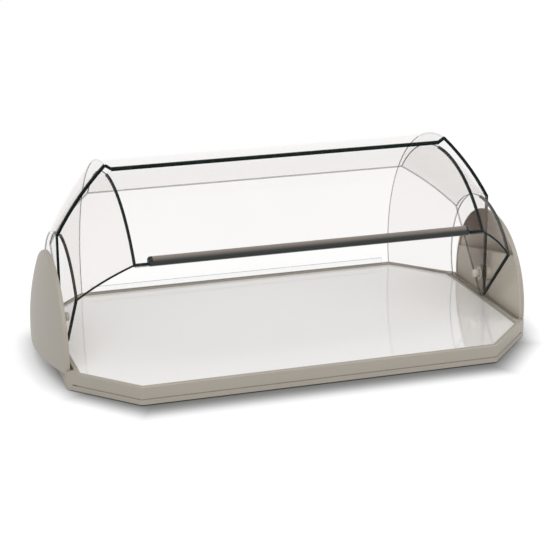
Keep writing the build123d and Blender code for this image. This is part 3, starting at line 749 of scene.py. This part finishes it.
class CASE_OT_stage(bpy.types.Operator):
    """Set the floor, the soft lamps and the camera"""

    bl_idname = "case.stage"
    bl_label = "Stage"

    def execute(self, context):
        self.floor()
        self.light(context.scene)
        self.camera(context.scene)
        return {"FINISHED"}

    def floor(self):
        """Pale floor that shows white to the camera through a glow, with the case's soft shadow
        mostly painted into that glow.
        """
        clear_selection()
        bpy.ops.mesh.primitive_plane_add(size=12, location=(0, 0, 0))
        plane = bpy.context.object
        plane.name = "floor"
        mat, tree, shader = fresh_material("Pale Floor", (0.9, 0.9, 0.9))
        shader.inputs["Base Color"].default_value = (0.88, 0.88, 0.88, 1)
        shader.inputs["Roughness"].default_value = 0.9
        shader.inputs["Specular IOR Level"].default_value = 0.0
        # Painted contact shadow: the glow dims with the ambient occlusion near the case, and
        # with the painted shadow round the base
        near = lay(tree, "ShaderNodeAmbientOcclusion", -2, -2, Distance=CONTACT_REACH)
        near.samples = 12
        shade = maths(tree, "POWER", -1, -2, near.outputs["AO"], CONTACT_POWER)
        strength = maths(tree, "MULTIPLY", 0, -2, shade, self.painted_shadow_fade(tree))
        glow = lay(tree, "ShaderNodeEmission", 2, -2)
        tree.links.new(strength, glow.inputs["Strength"])
        rays = lay(tree, "ShaderNodeLightPath", 0, 3)
        seen = maths(tree, "MAXIMUM", 1, 3, rays.outputs["Is Camera Ray"],
                     rays.outputs["Is Glossy Ray"])
        seen = maths(tree, "MAXIMUM", 2, 3, seen, rays.outputs["Is Transmission Ray"])
        share = maths(tree, "MULTIPLY", 3, 3, seen, GLOW_SHARE)
        mix = lay(tree, "ShaderNodeMixShader", 4, 1)
        tree.links.new(share, mix.inputs[0])
        tree.links.new(shader.outputs[0], mix.inputs[1])
        tree.links.new(glow.outputs[0], mix.inputs[2])
        sink = next(n for n in tree.nodes if n.type == "OUTPUT_MATERIAL")
        tree.links.new(mix.outputs[0], sink.inputs[0])
        plane.data.materials.append(mat)

    def painted_shadow_fade(self, tree):
        """Painted shadow: the floor's glow falls off softly towards the outline of the base."""
        place = lay(tree, "ShaderNodeTexCoord", -9, -5)
        parts = lay(tree, "ShaderNodeSeparateXYZ", -8, -5)
        tree.links.new(place.outputs["Object"], parts.inputs[0])
        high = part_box("base_shell")[1]
        x = maths(tree, "ABSOLUTE", -7, -5, parts.outputs[0])
        shifted = maths(tree, "ADD", -7, -6, parts.outputs[1], SHADOW_SHIFT)
        y = maths(tree, "ABSOLUTE", -6, -6, shifted)
        across = maths(tree, "SUBTRACT", -5, -5, x, high.x - SHADOW_ACROSS)
        along = maths(tree, "SUBTRACT", -5, -6, y, high.y - SHADOW_ALONG)
        lean = maths(tree, "MULTIPLY", -6, -7, y, CHAMFER_WAY[1])
        lean = maths(tree, "MULTIPLY_ADD", -5, -7, x, CHAMFER_WAY[0], lean)
        slant = maths(tree, "SUBTRACT", -4, -7, lean, CHAMFER_REACH)
        gap = maths(tree, "MAXIMUM", -4, -5, across, along)
        gap = maths(tree, "MAXIMUM", -3, -6, gap, slant)
        fade = lay(tree, "ShaderNodeMapRange", -2, -5, interpolation_type="SMOOTHERSTEP",
                   From_Min=FADE_GAPS[0], From_Max=FADE_GAPS[1],
                   To_Min=FADE_LEVELS[0], To_Max=FADE_LEVELS[1])
        tree.links.new(gap, fade.inputs["Value"])
        return fade.outputs[0]

    def light(self, scene):
        """White surround and two large soft lamps."""
        world = bpy.data.worlds.new("Studio Surround")
        world.use_nodes = True
        tree = world.node_tree
        tree.nodes.clear()
        sink = tree.nodes.new("ShaderNodeOutputWorld")
        sink.location = (600, 0)
        back = lay(tree, "ShaderNodeBackground", 1, 0, Strength=1.0)
        rays = lay(tree, "ShaderNodeLightPath", -3, 0)
        seen = maths(tree, "MAXIMUM", -2, 0, rays.outputs["Is Camera Ray"],
                     rays.outputs["Is Transmission Ray"])
        seen = maths(tree, "MAXIMUM", -1, 0, seen, rays.outputs["Is Glossy Ray"])
        level = maths(tree, "MULTIPLY_ADD", 0, 0, seen, 1 - SURROUND, SURROUND)
        tree.links.new(level, back.inputs["Strength"])
        tree.links.new(back.outputs[0], sink.inputs[0])
        scene.world = world
        for name, spot, size, power in LAMPS:
            data = bpy.data.lights.new(name, "AREA")
            data.size = size
            data.energy = power
            lamp = bpy.data.objects.new(name, data)
            lamp.location = spot
            aim = Vector((0, 0, 0.1)) - Vector(spot)
            lamp.rotation_euler = aim.to_track_quat("-Z", "Y").to_euler()
            scene.collection.objects.link(lamp)
        scene.view_settings.view_transform = "Standard"

    def camera(self, scene):
        """Camera at the place from which the photograph was taken."""
        sizes = scene.case_sizes
        data = bpy.data.cameras.new("view")
        data.lens = sizes.lens
        data.sensor_width = SENSOR
        data.sensor_fit = "HORIZONTAL"
        level = cos(VIEW_RISE)
        ahead = Vector((sin(VIEW_TURN) * level, cos(VIEW_TURN) * level, -sin(VIEW_RISE)))
        right = Vector((cos(VIEW_TURN), -sin(VIEW_TURN), 0))
        up = right.cross(ahead)
        roll = Matrix.Rotation(-VIEW_ROLL, 3, ahead)
        right, up = roll @ right, roll @ up
        spot = VIEW_TARGET - ahead * sizes.distance
        rows = Matrix((right, up, -ahead)).transposed().to_4x4()
        camera = bpy.data.objects.new("view", data)
        camera.matrix_world = Matrix.Translation(spot) @ rows
        scene.collection.objects.link(camera)
        scene.camera = camera


class CASE_PT_panel(bpy.types.Panel):
    """Sizes, colours and steps of the display case"""

    bl_label = "Display Case"
    bl_idname = "CASE_PT_panel"
    bl_space_type = "VIEW_3D"
    bl_region_type = "UI"
    bl_category = "Display Case"

    def draw(self, context):
        column = self.layout.column(align=True)
        for group in (context.scene.case_sizes, context.scene.case_colours):
            for name in group.__annotations__:
                column.prop(group, name)
            column.separator()
        for step in STEPS:
            column.operator(step.bl_idname)


STEPS = (CASE_OT_finishes, CASE_OT_front_joints, CASE_OT_rear_edges, CASE_OT_stage)
CLASSES = (CaseSizes, CaseColours, *STEPS, CASE_PT_panel)


def register():
    """Register the classes and hang their settings on the scene."""
    for cls in CLASSES:
        bpy.utils.register_class(cls)
    bpy.types.Scene.case_sizes = bpy.props.PointerProperty(type=CaseSizes)
    bpy.types.Scene.case_colours = bpy.props.PointerProperty(type=CaseColours)


def unregister():
    """Undo register."""
    del bpy.types.Scene.case_colours
    del bpy.types.Scene.case_sizes
    for cls in reversed(CLASSES):
        bpy.utils.unregister_class(cls)


def main():
    """Run every step."""
    register()
    for step in STEPS:
        group, name = step.bl_idname.split(".")
        getattr(getattr(bpy.ops, group), name)()


if __name__ == "__main__":
    main()
